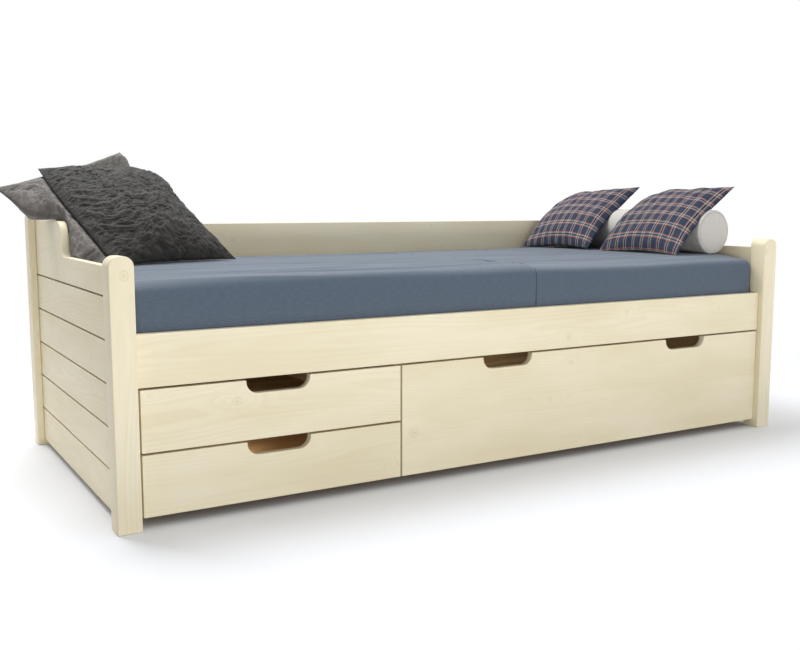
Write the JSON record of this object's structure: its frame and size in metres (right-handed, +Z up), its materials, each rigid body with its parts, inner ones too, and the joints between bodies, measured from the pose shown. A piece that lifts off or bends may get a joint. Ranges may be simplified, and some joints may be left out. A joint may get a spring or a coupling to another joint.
{
  "type": "single bed",
  "caption": "Pale pine single bed with planked ends and back, slatted base, pull-out drawers below the front rail, and a mattress with pillows, cushions and a bolster.",
  "frame": {"origin": "on the floor, at the centre of the bed frame's four posts", "axes": "+X along the bed towards the end with the bolster, -Y towards the drawer fronts, +Z up"},
  "size_m": [2.2103, 0.996, 0.8778],
  "materials": {
    "stained_pine": "cream-stained pine, satin",
    "raw_pine": "planed pine, matt",
    "drawer_ply": "plywood, matt",
    "zinc_steel": "zinc plated",
    "mattress_fabric": "blue-grey woven cover",
    "dark_fabric": "crinkled charcoal cloth",
    "light_fabric": "crinkled mid-grey cloth",
    "plaid_fabric": "navy plaid cotton with orange and white lines",
    "bolster_fabric": "pale grey woven cover"
  },
  "bodies": {
    "bed_frame": {"back_plank_1": "stained_pine", "back_plank_2": "stained_pine", "back_plank_3": "stained_pine", "back_plank_4": "stained_pine", "back_plank_5": "stained_pine", "back_plank_6": "stained_pine", "bed_slats": "raw_pine", "bracket_screws": "zinc_steel", "centre_divider": "raw_pine", "corner_brackets": "zinc_steel", "front_rail": "stained_pine", "front_slat_ledge": "raw_pine", "large_drawer_left_runner": "raw_pine", "large_drawer_right_runner": "raw_pine", "left_end_plank_1": "stained_pine", "left_end_plank_2": "stained_pine", "left_end_plank_3": "stained_pine", "left_end_plank_4": "stained_pine", "left_end_plank_5": "stained_pine", "left_end_plank_6": "stained_pine", "left_front_post": "stained_pine", "left_rear_post": "stained_pine", "lower_drawer_left_runner": "raw_pine", "lower_drawer_right_runner": "raw_pine", "rear_slat_ledge": "raw_pine", "right_end_plank_1": "stained_pine", "right_end_plank_2": "stained_pine", "right_end_plank_3": "stained_pine", "right_end_plank_4": "stained_pine", "right_end_plank_5": "stained_pine", "right_end_plank_6": "stained_pine", "right_front_post": "stained_pine", "right_rear_post": "stained_pine", "runner_screws": "zinc_steel", "upper_drawer_left_runner": "raw_pine", "upper_drawer_right_runner": "raw_pine"},
    "upper_drawer": {"upper_drawer_back": "raw_pine", "upper_drawer_floor": "drawer_ply", "upper_drawer_front": "stained_pine", "upper_drawer_left_side": "raw_pine", "upper_drawer_right_side": "raw_pine"},
    "lower_drawer": {"lower_drawer_back": "raw_pine", "lower_drawer_floor": "drawer_ply", "lower_drawer_front": "stained_pine", "lower_drawer_left_side": "raw_pine", "lower_drawer_right_side": "raw_pine"},
    "large_drawer": {"large_drawer_back": "raw_pine", "large_drawer_floor": "drawer_ply", "large_drawer_front": "stained_pine", "large_drawer_left_side": "raw_pine", "large_drawer_right_side": "raw_pine"},
    "bolster": {"bolster": "bolster_fabric"},
    "dark_pillow": {"dark_pillow": "dark_fabric"},
    "front_cushion": {"front_cushion": "plaid_fabric"},
    "light_pillow": {"light_pillow": "light_fabric"},
    "mattress_left": {"mattress_left": "mattress_fabric"},
    "mattress_right": {"mattress_right": "mattress_fabric"},
    "rear_cushion": {"rear_cushion": "plaid_fabric"}
  },
  "joints": [
    {"name": "upper_drawer_slide", "type": "slide", "parent": "bed_frame", "child": "upper_drawer", "axis": [0, -1, 0], "range_m": [0, 0.5]},
    {"name": "lower_drawer_slide", "type": "slide", "parent": "bed_frame", "child": "lower_drawer", "axis": [0, -1, 0], "range_m": [0, 0.5]},
    {"name": "large_drawer_slide", "type": "slide", "parent": "bed_frame", "child": "large_drawer", "axis": [0, -1, 0], "range_m": [0, 0.5]},
    {"name": "mattress_left_lift", "type": "slide", "parent": "bed_frame", "child": "mattress_left", "axis": [0, 0, 1], "range_m": [0, 0.3]},
    {"name": "mattress_right_lift", "type": "slide", "parent": "bed_frame", "child": "mattress_right", "axis": [0, 0, 1], "range_m": [0, 0.3]},
    {"name": "light_pillow_lift", "type": "slide", "parent": "mattress_left", "child": "light_pillow", "axis": [0, 0, 1], "range_m": [0, 0.35]},
    {"name": "dark_pillow_lift", "type": "slide", "parent": "light_pillow", "child": "dark_pillow", "axis": [0, 0, 1], "range_m": [0, 0.35]},
    {"name": "bolster_lift", "type": "slide", "parent": "mattress_right", "child": "bolster", "axis": [0, 0, 1], "range_m": [0, 0.3]},
    {"name": "front_cushion_lift", "type": "slide", "parent": "bolster", "child": "front_cushion", "axis": [0, 0, 1], "range_m": [0, 0.3]},
    {"name": "rear_cushion_lift", "type": "slide", "parent": "bolster", "child": "rear_cushion", "axis": [0, 0, 1], "range_m": [0, 0.3]}
  ]
}
